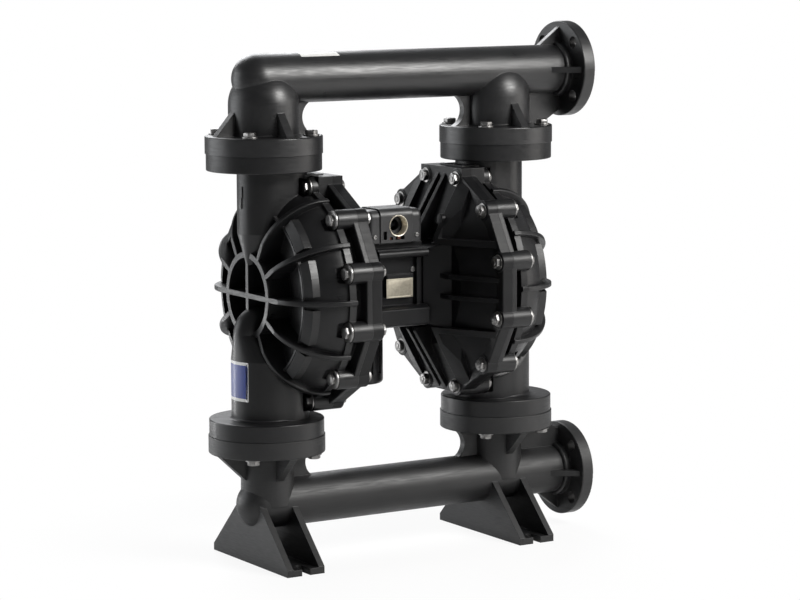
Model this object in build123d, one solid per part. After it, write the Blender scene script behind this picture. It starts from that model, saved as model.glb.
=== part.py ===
from build123d import *
from math import cos, radians
import os

os.makedirs("parts", exist_ok=True)

# Air operated double diaphragm pump with two inch flanged connections.
# Frame: millimetres, +Z up, floor at Z = 0. X runs along the two manifolds with their
# open flanges towards +X, the compressed air inlet faces -Y. The origin is on the
# floor in the middle of the four foot slots, below the middle of the diaphragm shaft.

# ---- driving dimensions -------------------------------------------------------------
TOWER_X = 211.0  # the two pumping chambers' pipes stand this far from the middle
SHAFT_Z = 417.0  # axis of the diaphragm shaft
LOWER_JOINT_Z = 200.5  # inlet manifold meets the fluid covers
UPPER_JOINT_Z = 633.5  # outlet manifold meets the fluid covers
INLET_Z = 91.5  # axis of the inlet pipe
OUTLET_Z = 746.0  # axis of the outlet pipe

PIPE_R, PIPE_BORE_R = 38.5, 25.5
PIPE_END_X = 222.5  # centre of the closed, domed end of each pipe
PORT_FACE_X = 351.5  # open end of each manifold
PORT_FLANGE_R, PORT_FLANGE_T = 76.2, 21.0  # two inch class 150 flange
PORT_PCD, PORT_HOLE_R, PORT_BOLTS = 120.65, 9.5, 4
PORT_BORE_R, PORT_BORE_L = 26.0, 40.0  # wider mouth of each pipe at its open end
PORT_RIB_L, PORT_RIB_T, PORT_RIB_TOP = 38.0, 9.0, 67.0
PORT_COLLAR_R, PORT_COLLAR_L = 44.0, 12.0

JOINT_FLANGE_R, COVER_FLANGE_R = 90.0, 88.5
JOINT_FLANGE_T, COVER_FLANGE_T = 27.0, 26.0
JOINT_BOLT_R = 75.0  # radius of the four bolts round each joint
JOINT_BOLT_ANGLES = (45, 135, 225, 315)
GUSSET_T, GUSSET_REACH = 13.0, 85.0
OUTLET_GUSSET_H, INLET_GUSSET_H = 36.0, 42.0
BASE_FILLET = 4.0  # where a leg or a tube stands on its joint flange
EDGE = 2.0  # rounding of the long moulded edges

OUTLET_LEG_R, OUTLET_LEG_BORE_R = 54.0, 46.0
OUTLET_DOME_Z = 707.5
INLET_LEG_R, INLET_LEG_BORE_R = 41.0, 30.0

FOOT_HALF_Y, FOOT_OUT_X, FOOT_T = 119.0, 32.0, 10.0
FOOT_END_H, FOOT_TOP_Z, FOOT_TOP_Y = 11.0, 96.0, 32.0
FOOT_SLOT_W, FOOT_SLOT_L = 14.0, 30.0

SEAM_X = 126.0  # fluid cover meets air cover
RIM_APOTHEM = 176.0
RIM_SIDES = 12
COVER_BOLT_R, COVER_BOLTS = 170.0, 12
BOSS_R, BOSS_X = 16.0, 160.0
FLUID_RIM_X = 134.6
BAND_X0, BAND_X1, BAND_R = 148.0, 159.5, 168.0
HUB_X, HUB_R, HUB_T, HUB_FLOOR_X = 243.0, 67.0, 9.0, 210.0
MOAT_R, MOAT_X = 82.0, 204.0  # deep ring-shaped recess round the hub
STEP_R, STEP_X = 126.0, 209.0  # shallower recess outside it
RIDGE_T, RIDGE_X = 4.0, 218.5
PAD_R0, PAD_R1, PAD_HALF = 131.0, 146.0, 11.0
RIB_T, RIB_MID_X, RIB_MID_R, RIB_END_R = 8.0, 222.0, 141.0, 172.0
UPPER_TUBE_R, UPPER_TUBE_BORE_R, UPPER_TUBE_SHIFT = 42.0, 34.0, 27.0
UPPER_TUBE_Z, UPPER_BORE_Z = 512.0, 520.0  # the tube narrows to the hub below this
FUNNEL_X, FUNNEL_R, FUNNEL_Z = 236.0, 7.0, 464.0
LOWER_TUBE_R, LOWER_TUBE_BORE_R, LOWER_TUBE_SHIFT = 54.0, 46.0, 14.0
LOWER_TUBE_Z, LOWER_BORE_Z = 318.0, 290.0
ELBOW_X, ELBOW_R, ELBOW_Z, ELBOW_BEND = 243.0, 21.5, 358.0, 22.0
DOME_TOP_X, DOME_MID, DOME_END_R = 213.0, (192.3, 150.0), 163.0
SPIGOT_R = 157.0
CHAMBER_X, CHAMBER_FLAT_R = 196.0, 104.0
TUBE_WEB_Y = 33.0  # half width of the blocks between the tubes and the rim
RIM_BLOCK_X, RIM_BLOCK_Y = 150.0, 60.0  # flat-topped thickening of both rims
RIM_BLOCK_Z0, RIM_BLOCK_Z1 = 562.0, 598.0

AIR_RIM_X = 108.0
AIR_FLOOR_X, AIR_FLOOR_R = 88.0, 96.0
AIR_WALL = 8.0
SHELF_Z, SHELF_T = 70.0, 10.0
WEB_Y, WEB_T = 57.0, 9.0
FIN_Y, FIN_T = 10.0, 8.0
CROSS_FIN_Z, CROSS_FIN_T = 16.0, 7.0
RAMP_Y, RAMP_X = 82.0, 92.0
NECK_Y0, NECK_Y1, NECK_Z = 46.0, 78.0, 58.0
AIR_STUD_R, AIR_STUD_X, AIR_STUD_Y = 8.0, 72.0, 52.0

HOUSING_X, HOUSING_Y = 45.0, 42.0
HOUSING_Z0, HOUSING_Z1 = 356.0, 487.0
BAR_Y, TOP_BAR_Z, TOP_BAR_R = -58.0, 471.0, 6.0
LOW_BAR_Z, LOW_BAR_R = 373.0, 16.5
MUFFLER_Y, MUFFLER_R, MUFFLER_Z0, MUFFLER_Z1 = 76.0, 38.0, 252.0, 346.0
MUFFLER_NECK_R, MUFFLER_SPIGOT_R = 22.0, 17.9

VALVE_X, VALVE_Y, VALVE_Z = -9.0, -24.0, 515.0  # axis point of the air valve's spool bore
VALVE_HALF, CAP_L = 29.0, 19.0
VALVE_BORE_R = 15.0
AIR_PORT_X, AIR_PORT_R, AIR_PORT_SLEEVE_R, AIR_PORT_L = -6.0, 14.7, 16.8, 14.0
VALVE_FRONT_Y = -56.0

BALL_R, BALL_LIFT = 32.0, 15.0
SEAT_R, SEAT_BORE_R, SEAT_T = 50.0, 24.0, 12.0

STROKE = 18.0  # each way from the middle
SHAFT_R = 14.0
DIAPHRAGM_R, DIAPHRAGM_T = 156.0, 5.0
PLATE_R, FLUID_PLATE_T, AIR_PLATE_T = 84.0, 14.0, 8.0
PIN_R, PIN_OFFSET_Z, PIN_TIP_X = 4.0, 48.0, 100.0

BOLT_R, HEX_AF, HEAD_H, NUT_H = 5.0, 17.0, 6.5, 8.0
HOLE_R = 5.5
COVER_WASHER_R, JOINT_WASHER_R, WASHER_T = 14.0, 12.0, 2.5
WASHER_SEAT_R, NUT_SEAT_R = 15.2, 12.5
INSERT_R, INSERT_L = 8.0, 20.0
FIT = 0.05  # radial gap of a shaft that slides in its bore


# ---- helpers ------------------------------------------------------------------------
def box(x0, x1, y0, y1, z0, z1):
    """A block between two corners."""
    size = Box(x1 - x0, y1 - y0, z1 - z0)
    return Pos((x0 + x1) / 2, (y0 + y1) / 2, (z0 + z1) / 2) * size


def rod_x(radius, x0, x1, y=0.0, z=0.0):
    """A round bar along X."""
    return Pos((x0 + x1) / 2, y, z) * Rot(0, 90, 0) * Cylinder(radius, x1 - x0)


def rod_y(radius, y0, y1, x=0.0, z=0.0):
    """A round bar along Y."""
    return Pos(x, (y0 + y1) / 2, z) * Rot(90, 0, 0) * Cylinder(radius, y1 - y0)


def rod_z(radius, z0, z1, x=0.0, y=0.0):
    """A round bar along Z."""
    return Pos(x, y, (z0 + z1) / 2) * Cylinder(radius, z1 - z0)


def turned_x(outline, z=SHAFT_Z, arc=360):
    """A body of revolution about the X axis; the outline holds (x, radius) edges."""
    return Pos(0, 0, z) * revolve(make_face(outline), Axis.X, arc)


def turned_z(points, x, z):
    """A body of revolution about a vertical axis; the points are (radius, height)."""
    face = make_face(Polyline(*[(r, 0, h) for r, h in points], close=True))
    return Pos(x, 0, z) * revolve(face, Axis.Z)


def about_shaft(solid, angle):
    """Turn something about the shaft axis."""
    return Pos(0, 0, SHAFT_Z) * Rot(angle, 0, 0) * Pos(0, 0, -SHAFT_Z) * solid


def around_shaft(solid, angles):
    """Copies of a solid at several angles about the shaft axis."""
    return [about_shaft(solid, a) for a in angles]


def joint_spots(x):
    """Places of the four bolts of a joint round a tower at x."""
    ring = Pos(x, 0, 0)
    return [ring * Rot(0, 0, a) * Pos(JOINT_BOLT_R, 0, 0) for a in JOINT_BOLT_ANGLES]


def plate_xz(points, thickness, y=0.0):
    """A plate standing in the XZ plane."""
    face = make_face(Polyline(*[(x, y, z) for x, z in points], close=True))
    return extrude(face, thickness / 2, dir=(0, 1, 0), both=True)


def plate_yz(points, x0, x1):
    """A plate standing in the YZ plane from x0 to x1."""
    face = make_face(Polyline(*[(x0, y, z) for y, z in points], close=True))
    return extrude(face, x1 - x0, dir=(1, 0, 0))


def hex_bolt(length, washer_r):
    """A bolt along -Z under its head, with its washer; the seating plane is Z = 0."""
    hexagon = RegularPolygon(HEX_AF / 2, 6, major_radius=False)
    head = Pos(0, 0, WASHER_T) * extrude(hexagon, HEAD_H)
    return head + rod_z(washer_r, 0, WASHER_T) + rod_z(BOLT_R, -length, WASHER_T)


def hex_nut():
    """A hexagon nut that stands on Z = 0."""
    nut = extrude(RegularPolygon(HEX_AF / 2, 6, major_radius=False), NUT_H)
    return nut - rod_z(BOLT_R + FIT, -1, NUT_H + 1)


def rounded_ends(solid, radius=EDGE, which=(0, -1)):
    """Round the outer edges of a disc's or a plate's ends, counted along its own Z."""
    faces = solid.faces().sort_by(Axis.Z)
    edges = [e for k in which for e in faces[k].outer_wire().edges()]
    return fillet(edges, radius)


def base_ring(tube_r, z, up, x):
    """Concave fillet ring round a tube where it stands on a flange."""
    radius = tube_r - 0.2  # the ring's edge lies just inside the tube's skin
    r, h = BASE_FILLET, up * BASE_FILLET
    mid = (1 - cos(radians(45))) * r
    hollow = ThreePointArc((radius + r, 0, 0), (radius + mid, 0, up * mid), (radius, 0, h))
    corner = Polyline((radius, 0, h), (radius - 1, 0, h), (radius - 1, 0, 0), (radius + r, 0, 0))
    return Pos(x, 0, z) * revolve(make_face(hollow + corner), Axis.Z)


def keep(name, *solids):
    """Write one node; several solids stay separate bodies in it."""
    flat = []
    for item in solids:
        flat += item.solids()
    shape = flat[0] if len(flat) == 1 else Compound(children=flat)
    shape.label = name
    export_step(shape, f"parts/{name}.step")


def mirrored(solid):
    """The same piece on the other side of the pump."""
    return mirror(solid, about=Plane.YZ)


# ---- manifolds ----------------------------------------------------------------------
def manifold_pipe(z, radius):
    """A pipe with a domed end at -X, running out to the port face."""
    dome = Pos(-PIPE_END_X, 0, z) * Sphere(radius)
    return dome + rod_x(radius, -PIPE_END_X, PORT_FACE_X, z=z)


def port_flange(z):
    """Pipe flange with four triangular ribs between its bolt holes and a collar."""
    back_x = PORT_FACE_X - PORT_FLANGE_T
    disc = rounded_ends(Cylinder(PORT_FLANGE_R, PORT_FLANGE_T))
    flange = Pos((back_x + PORT_FACE_X) / 2, 0, z) * Rot(0, 90, 0) * disc
    collar = rounded_ends(Cylinder(PORT_COLLAR_R, 2 * PORT_COLLAR_L), 4.0)
    flange += Pos(back_x, 0, z) * Rot(0, 90, 0) * collar
    rib_x = back_x - PORT_RIB_L
    rib_points = [(back_x, 0), (back_x, PORT_RIB_TOP), (rib_x, PIPE_R), (rib_x, 0)]
    rib = plate_xz(rib_points, PORT_RIB_T)
    for quarter in range(4):
        flange += Pos(0, 0, z) * Rot(90 * quarter, 0, 0) * rib
    return flange


def port_mouth(z):
    """The wider end of a pipe's bore."""
    return rod_x(PORT_BORE_R, PORT_FACE_X - PORT_BORE_L, PORT_FACE_X + 1, z=z)


def port_holes(z):
    """The four bolt holes of a pipe flange."""
    hole = rod_x(PORT_HOLE_R, PORT_FACE_X - PORT_FLANGE_T - 1, PORT_FACE_X + 1)
    spots = []
    for k in range(PORT_BOLTS):
        turn = Rot(45 + 360 / PORT_BOLTS * k, 0, 0)
        spots.append(Pos(0, 0, z) * turn * Pos(0, 0, PORT_PCD / 2) * hole)
    return spots


def joint_flange(radius, z0, z1, x, outer):
    """Round flange of a joint; outer says which end is away from the joint."""
    disc = rounded_ends(Cylinder(radius, z1 - z0), which=(outer,))
    return Pos(x, 0, (z0 + z1) / 2) * disc


def joint_gusset(x, base_z, up, reach, height, angle):
    """Triangular gusset from a joint flange to its leg; up is +1 or -1."""
    points = [(0, 0), (GUSSET_REACH, 0), (reach, up * height), (0, up * height)]
    return Pos(x, 0, base_z) * Rot(0, 0, angle) * plate_xz(points, GUSSET_T)


def arched_gusset(x, base_z, pipe_z, leg_r, side):
    """Gusset with a round hollow edge that runs on to the pipe."""
    up = 1 if pipe_z > base_z else -1
    edge_z = pipe_z - up * (PIPE_R - 2)
    rise = edge_z - base_z
    start, top = (x + side * 84, 0, base_z), (x + side * 78, 0, edge_z)
    hollow = ThreePointArc(start, (x + side * 64, 0, base_z + 0.55 * rise), top)
    rest = Polyline(top, (x, 0, edge_z), (x, 0, base_z), start)
    return extrude(make_face(hollow + rest), GUSSET_T / 2, dir=(0, 1, 0), both=True)


def port_web(base_z, pipe_z):
    """Web between the last leg, the pipe and the pipe flange."""
    up = 1 if pipe_z > base_z else -1
    back_x = PORT_FACE_X - PORT_FLANGE_T
    points = [(TOWER_X, base_z), (TOWER_X + 86, base_z), (back_x, pipe_z - up * 66)]
    points += [(back_x, pipe_z), (TOWER_X, pipe_z)]
    return plate_xz(points, GUSSET_T - 3)


def ball_travel(seat_top_z, x, clearance):
    """The space that a check ball sweeps between its seat and its stop."""
    low_z = ball_rest_z(seat_top_z)
    shape = rod_z(BALL_R + clearance, seat_top_z - 1, low_z + BALL_LIFT, x)
    return shape + Pos(x, 0, low_z + BALL_LIFT) * Sphere(BALL_R + clearance)


def ball_rest_z(seat_top_z):
    """Height of a ball's centre while it closes the seat."""
    return seat_top_z + (BALL_R**2 - SEAT_BORE_R**2) ** 0.5


def ball_cage(seat_top_z, x, bore_r):
    """Four guide ribs and a stop above a check ball."""
    top_z = ball_rest_z(seat_top_z) + BALL_LIFT + BALL_R + 12
    z0 = seat_top_z + 14
    reach = bore_r + 2
    cross = box(-reach, reach, -3, 3, z0, top_z) + box(-3, 3, -reach, reach, z0, top_z)
    cage = Pos(x, 0, 0) * cross & rod_z(reach, z0 - 1, top_z + 1, x)
    return cage - ball_travel(seat_top_z, x, 0.8)


def outlet_manifold():
    """Collects the flow of both chambers; carries the upper seats and ball cages."""
    base_z = UPPER_JOINT_Z
    flange_top = base_z + JOINT_FLANGE_T
    body = manifold_pipe(OUTLET_Z, PIPE_R) + port_flange(OUTLET_Z)
    body += port_web(flange_top - 1, OUTLET_Z)
    cavity = manifold_pipe(OUTLET_Z, PIPE_BORE_R) + port_mouth(OUTLET_Z)
    cages = []
    for x in (-TOWER_X, TOWER_X):
        body += joint_flange(JOINT_FLANGE_R, base_z, flange_top, x, -1)
        body += base_ring(OUTLET_LEG_R, flange_top, 1, x)
        body += rod_z(OUTLET_LEG_R, base_z, OUTLET_DOME_Z, x)
        body += Pos(x, 0, OUTLET_DOME_Z) * Sphere(OUTLET_LEG_R)
        for angle in (90, 270):
            body += joint_gusset(x, flange_top, 1, OUTLET_LEG_R, OUTLET_GUSSET_H, angle)
        inner = 1 if x < 0 else -1
        body += arched_gusset(x, flange_top - 1, OUTLET_Z, OUTLET_LEG_R, inner)
        cavity += rod_z(OUTLET_LEG_BORE_R, base_z, OUTLET_DOME_Z, x)
        cavity += Pos(x, 0, OUTLET_DOME_Z) * Sphere(OUTLET_LEG_BORE_R)
        cavity += rod_z(SEAT_R + 0.3, base_z - 1, base_z + SEAT_T, x)
        cages.append(ball_cage(base_z + SEAT_T, x, OUTLET_LEG_BORE_R))
    body += joint_gusset(-TOWER_X, flange_top, 1, OUTLET_LEG_R, OUTLET_GUSSET_H, 180)
    body -= cavity
    for cage in cages:
        body += cage
    for x in (-TOWER_X, TOWER_X):
        for spot in joint_spots(x):
            body -= spot * rod_z(HOLE_R, base_z - 1, flange_top + 1)
    for hole in port_holes(OUTLET_Z):
        body -= hole
    return body


def foot(x):
    """Two triangular cheeks on a slotted base plate under one tower."""
    side = [(-FOOT_HALF_Y, 0), (FOOT_HALF_Y, 0), (FOOT_HALF_Y, FOOT_END_H)]
    side += [(FOOT_TOP_Y, FOOT_TOP_Z), (-FOOT_TOP_Y, FOOT_TOP_Z), (-FOOT_HALF_Y, FOOT_END_H)]
    shape = plate_yz(side, x - FOOT_OUT_X, x - FOOT_OUT_X + FOOT_T)
    shape += plate_yz(side, x + FOOT_OUT_X - FOOT_T, x + FOOT_OUT_X)
    base = box(x - FOOT_OUT_X, x + FOOT_OUT_X, -FOOT_HALF_Y, FOOT_HALF_Y, 0, FOOT_T)
    for end in (-1, 1):
        slot_end = end * (FOOT_HALF_Y - FOOT_SLOT_L + FOOT_SLOT_W / 2)
        base -= rod_z(FOOT_SLOT_W / 2, -1, FOOT_T + 1, x, slot_end)
        mouth = sorted((slot_end, end * (FOOT_HALF_Y + 1)))
        half = FOOT_SLOT_W / 2
        base -= box(x - half, x + half, mouth[0], mouth[1], -1, FOOT_T + 1)
    return shape + base


def inlet_manifold():
    """Feeds both chambers and carries the pump on its two feet."""
    top_z = LOWER_JOINT_Z
    flange_z = top_z - JOINT_FLANGE_T
    body = manifold_pipe(INLET_Z, PIPE_R) + port_flange(INLET_Z)
    body += port_web(flange_z + 1, INLET_Z)
    cavity = manifold_pipe(INLET_Z, PIPE_BORE_R) + port_mouth(INLET_Z)
    for x in (-TOWER_X, TOWER_X):
        body += joint_flange(JOINT_FLANGE_R, flange_z, top_z, x, 0)
        body += rod_z(INLET_LEG_R, INLET_Z, flange_z + 1, x)
        body += base_ring(INLET_LEG_R, flange_z, -1, x)
        for angle in (90, 270):
            body += joint_gusset(x, flange_z, -1, INLET_LEG_R - 1, INLET_GUSSET_H, angle)
        inner = 1 if x < 0 else -1
        body += arched_gusset(x, flange_z + 1, INLET_Z, INLET_LEG_R, inner)
        body += foot(x)
        cavity += rod_z(INLET_LEG_BORE_R, INLET_Z, top_z + 1, x)
    body += joint_gusset(-TOWER_X, flange_z, -1, INLET_LEG_R - 1, INLET_GUSSET_H, 180)
    body -= cavity
    for x in (-TOWER_X, TOWER_X):
        for spot in joint_spots(x):
            body -= spot * rod_z(HOLE_R, flange_z - 1, top_z + 1)
    for hole in port_holes(INLET_Z):
        body -= hole
    return body


# ---- fluid cover --------------------------------------------------------------------
def rim_plate(x0, x1, outer):
    """Twelve-sided clamping rim; outer says which end carries the rounded edge."""
    corner_r = RIM_APOTHEM / cos(radians(180 / RIM_SIDES))
    outline = RegularPolygon(corner_r, RIM_SIDES, rotation=180 / RIM_SIDES)
    rim = rounded_ends(extrude(outline, x1 - x0), which=(outer,))
    return Pos(x0, 0, SHAFT_Z) * Rot(0, 90, 0) * rim


def rim_block(x0, x1):
    """Thick top of a rim, under the upper joint."""
    return box(x0, x1, -RIM_BLOCK_Y, RIM_BLOCK_Y, RIM_BLOCK_Z0, RIM_BLOCK_Z1)


def bolt_boss(x0, x1, outer):
    """Round boss of a cover bolt, straight above the shaft."""
    boss = rounded_ends(Cylinder(BOSS_R, x1 - x0), 0.8, which=(outer,))
    return Pos((x0 + x1) / 2, 0, SHAFT_Z + COVER_BOLT_R) * Rot(0, 90, 0) * boss


def bolt_angles():
    """Angles of the cover bolts about the shaft, from straight up."""
    step = 360 / COVER_BOLTS
    return [step * (k + 0.5) for k in range(COVER_BOLTS)]


def cover_holes(x0, x1):
    """The ring of bolt holes through a rim."""
    hole = rod_x(HOLE_R, x0, x1, z=SHAFT_Z + COVER_BOLT_R)
    return around_shaft(hole, bolt_angles())


def dome_body():
    """Outside of the fluid chamber: hub ring, two recesses round it, and the dome."""
    hub_in, ridge_r = HUB_R - HUB_T, STEP_R + RIDGE_T
    start = (SEAM_X, 0)
    hub = [start, (HUB_FLOOR_X, 0), (HUB_FLOOR_X, hub_in), (HUB_X, hub_in), (HUB_X, HUB_R)]
    recess = [(HUB_X, HUB_R), (MOAT_X, HUB_R), (MOAT_X, MOAT_R), (STEP_X, MOAT_R)]
    ridge = [(STEP_X, MOAT_R), (STEP_X, STEP_R), (RIDGE_X, STEP_R), (RIDGE_X, ridge_r)]
    ridge += [(DOME_TOP_X, ridge_r)]
    band = [(BAND_X1, DOME_END_R), (BAND_X1, BAND_R), (BAND_X0, BAND_R), (BAND_X0, SPIGOT_R)]
    band += [(SEAM_X, SPIGOT_R), start]
    outline = Polyline(*hub) + Polyline(*recess) + Polyline(*ridge)
    outline += ThreePointArc((DOME_TOP_X, ridge_r), DOME_MID, (BAND_X1, DOME_END_R))
    return turned_x(outline + Polyline(*band))


def radial_rib(inner_r):
    """One rib of the fluid cover, standing straight up, from inner_r outwards."""
    start, end = (HUB_X, HUB_R), (BAND_X1, RIB_END_R)
    arc = ThreePointArc(start, (RIB_MID_X, RIB_MID_R), end)
    disc = rounded_ends(Cylinder(arc.radius, RIB_T))
    disc = Pos(arc.arc_center.X, 0, arc.arc_center.Y) * Rot(90, 0, 0) * disc
    half = RIB_T / 2
    rib = disc & box(BAND_X0, HUB_X, -half, half, inner_r, RIB_END_R)
    rib += box(BAND_X0, HUB_X, -half, half, inner_r, HUB_R)
    return Pos(0, 0, SHAFT_Z) * rib


def rib_pad():
    """Raised step on the dome between two ribs, centred straight above the shaft."""
    points = [(190, PAD_R0), (218, PAD_R0), (210.5, PAD_R1), (190, PAD_R1)]
    pad = turned_x(Polyline(*points, close=True), arc=2 * PAD_HALF)
    # turned_x starts its sweep in the XY plane, a quarter turn from straight up
    return about_shaft(pad, 90 - PAD_HALF)


def stadium_z(radius, x0, x1, z0, z1):
    """An upright tube whose plan is drawn out along X."""
    shape = rod_z(radius, z0, z1, x0) + rod_z(radius, z0, z1, x1)
    return shape + box(min(x0, x1), max(x0, x1), -radius, radius, z0, z1)


def narrowing(radius0, x0, z0, radius1, x1, z1):
    """A leaning cone between two level circles."""
    lower = Pos(x0, 0, z0) * Circle(radius0)
    upper = Pos(x1, 0, z1) * Circle(radius1)
    return loft([lower, upper])


def upper_tube():
    """Outlet tube of a chamber: it narrows to a point at the hub ring."""
    inner_x = TOWER_X - UPPER_TUBE_SHIFT
    tube = stadium_z(UPPER_TUBE_R, inner_x, TOWER_X, UPPER_TUBE_Z, UPPER_JOINT_Z)
    tube += narrowing(FUNNEL_R, FUNNEL_X, FUNNEL_Z, UPPER_TUBE_R, TOWER_X, UPPER_TUBE_Z)
    return tube + box(SEAM_X, inner_x, -TUBE_WEB_Y, TUBE_WEB_Y, 520, 600)


def lower_tube():
    """Inlet tube of a chamber: it ends in a small elbow that turns into the hub."""
    inner_x = TOWER_X - LOWER_TUBE_SHIFT
    tube = stadium_z(LOWER_TUBE_R, inner_x, TOWER_X, LOWER_JOINT_Z, LOWER_TUBE_Z)
    tube += narrowing(LOWER_TUBE_R, TOWER_X, LOWER_TUBE_Z, ELBOW_R, ELBOW_X, ELBOW_Z)
    centre_x = ELBOW_X - ELBOW_BEND
    section = Pos(ELBOW_X, 0, ELBOW_Z) * Circle(ELBOW_R)
    tube += revolve(section, Axis((centre_x, 0, ELBOW_Z), (0, -1, 0)), 90)
    tube += rod_x(ELBOW_R, MOAT_X - 4, centre_x, z=ELBOW_Z + ELBOW_BEND)
    return tube + box(SEAM_X, inner_x, -TUBE_WEB_Y, TUBE_WEB_Y, 236, 320)


def fluid_cover():
    """Right-hand fluid cover: chamber dome, ribs, bosses and the two upright tubes."""
    body = dome_body() + rim_plate(SEAM_X, FLUID_RIM_X, -1)
    for piece in around_shaft(bolt_boss(SEAM_X, BOSS_X, -1), bolt_angles()):
        body += piece
    for piece in around_shaft(radial_rib(0), range(0, 360, 90)):
        body += piece
    between = [angle for angle in range(0, 360, 30) if angle % 90]
    for piece in around_shaft(radial_rib(HUB_R - 2), between):
        body += piece
    for piece in around_shaft(rib_pad(), (45, 75, 105, 135, 225, 255, 285, 315)):
        body += piece
    body += rim_block(SEAM_X, RIM_BLOCK_X)
    body += upper_tube()
    body += lower_tube()
    z0, z1 = UPPER_JOINT_Z - COVER_FLANGE_T, UPPER_JOINT_Z
    body += joint_flange(COVER_FLANGE_R, z0, z1, TOWER_X, 0)
    body += base_ring(UPPER_TUBE_R, z0, -1, TOWER_X)
    z0, z1 = LOWER_JOINT_Z, LOWER_JOINT_Z + COVER_FLANGE_T
    body += joint_flange(COVER_FLANGE_R, z0, z1, TOWER_X, -1)
    body += base_ring(LOWER_TUBE_R, z1, 1, TOWER_X)
    body -= fluid_cavity()
    body += ball_cage(LOWER_JOINT_Z + SEAT_T, TOWER_X, LOWER_TUBE_BORE_R)
    for hole in cover_holes(SEAM_X - 1, BOSS_X + 1):
        body -= hole
    washer_room = rod_x(WASHER_SEAT_R, BOSS_X, BOSS_X + 14, z=SHAFT_Z + COVER_BOLT_R)
    for piece in around_shaft(washer_room, bolt_angles()):
        body -= piece
    for spot in joint_spots(TOWER_X):
        body -= spot * rod_z(INSERT_R, UPPER_JOINT_Z - INSERT_L, UPPER_JOINT_Z + 1)
        body -= spot * rod_z(INSERT_R, LOWER_JOINT_Z - 1, LOWER_JOINT_Z + INSERT_L)
    return body


def fluid_cavity():
    """The wet space inside a fluid cover: chamber, inlet tube and outlet tube."""
    top, corner, end = CHAMBER_X, (CHAMBER_X, CHAMBER_FLAT_R), (142, 148)
    outline = Polyline((SEAM_X - 1, 0), (top, 0), corner)
    outline += ThreePointArc(corner, (183, 134), end)
    outline += Polyline(end, (SEAM_X - 1, 148), (SEAM_X - 1, 0))
    cavity = turned_x(outline)
    cavity += rod_z(UPPER_TUBE_BORE_R, UPPER_BORE_Z, UPPER_JOINT_Z + 1, TOWER_X)
    cavity += Pos(TOWER_X, 0, UPPER_BORE_Z) * Sphere(UPPER_TUBE_BORE_R)
    cavity += box(150, TOWER_X, -24, 24, 530, 588)
    cavity += rod_z(LOWER_TUBE_BORE_R, LOWER_JOINT_Z, LOWER_BORE_Z, TOWER_X)
    cavity += Pos(TOWER_X, 0, LOWER_BORE_Z) * Sphere(LOWER_TUBE_BORE_R)
    cavity += rod_z(SEAT_R + 0.3, LOWER_JOINT_Z - 1, LOWER_JOINT_Z + SEAT_T, TOWER_X)
    return cavity


# ---- air cover ----------------------------------------------------------------------
def air_envelope(rim_r, inner_x, inner_r):
    """Cone that the webs of an air cover are cut to."""
    points = [(inner_x, 0), (AIR_RIM_X, 0), (AIR_RIM_X, rim_r), (inner_x, inner_r)]
    return turned_x(Polyline(*points, close=True))


def air_webs():
    """Moulded webs between the middle of an air cover and its rim."""
    deep = air_envelope(172, 50, 76)
    shallow = air_envelope(166, 66, 88)
    x0, x1 = 48, AIR_RIM_X
    webs = []
    for up in (-1, 1):
        edge = SHAFT_Z + up * SHELF_Z
        far = SHAFT_Z + up * RIM_APOTHEM
        z0, z1 = min(edge, far), max(edge, far)
        for y in (-FIN_Y, FIN_Y):
            webs.append(box(x0, x1, y - FIN_T / 2, y + FIN_T / 2, z0, z1) & deep)
        for side in (-1, 1):
            y = side * WEB_Y
            webs.append(box(x0, x1, y - WEB_T / 2, y + WEB_T / 2, z0, z1) & deep)
            ramp = [(66, y), (RAMP_X, side * RAMP_Y), (x1, side * RAMP_Y), (x1, y)]
            face = make_face(Polyline(*[(px, py, z0) for px, py in ramp], close=True))
            webs.append(extrude(face, z1 - z0, dir=(0, 0, 1)) & deep)
            ends = sorted((side * (WEB_Y - 4), side * RIM_APOTHEM))
            shelf = box(x0, x1, *ends, edge - SHELF_T / 2, edge + SHELF_T / 2)
            webs.append(shelf & deep)
            fin_z, half = SHAFT_Z + up * CROSS_FIN_Z, CROSS_FIN_T / 2
            webs.append(box(x0, x1, *ends, fin_z - half, fin_z + half) & shallow)
    return webs


def air_neck():
    """Flared neck from the middle housing to the floor of an air cover."""
    inner = Rectangle(2 * NECK_Z, 2 * NECK_Y0)
    outer = Rectangle(2 * SHELF_Z, 2 * NECK_Y1)
    start = Pos(HOUSING_X, 0, SHAFT_Z) * Rot(0, 90, 0) * inner
    end = Pos(AIR_FLOOR_X - 3, 0, SHAFT_Z) * Rot(0, 90, 0) * outer
    return loft([start, end])


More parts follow.
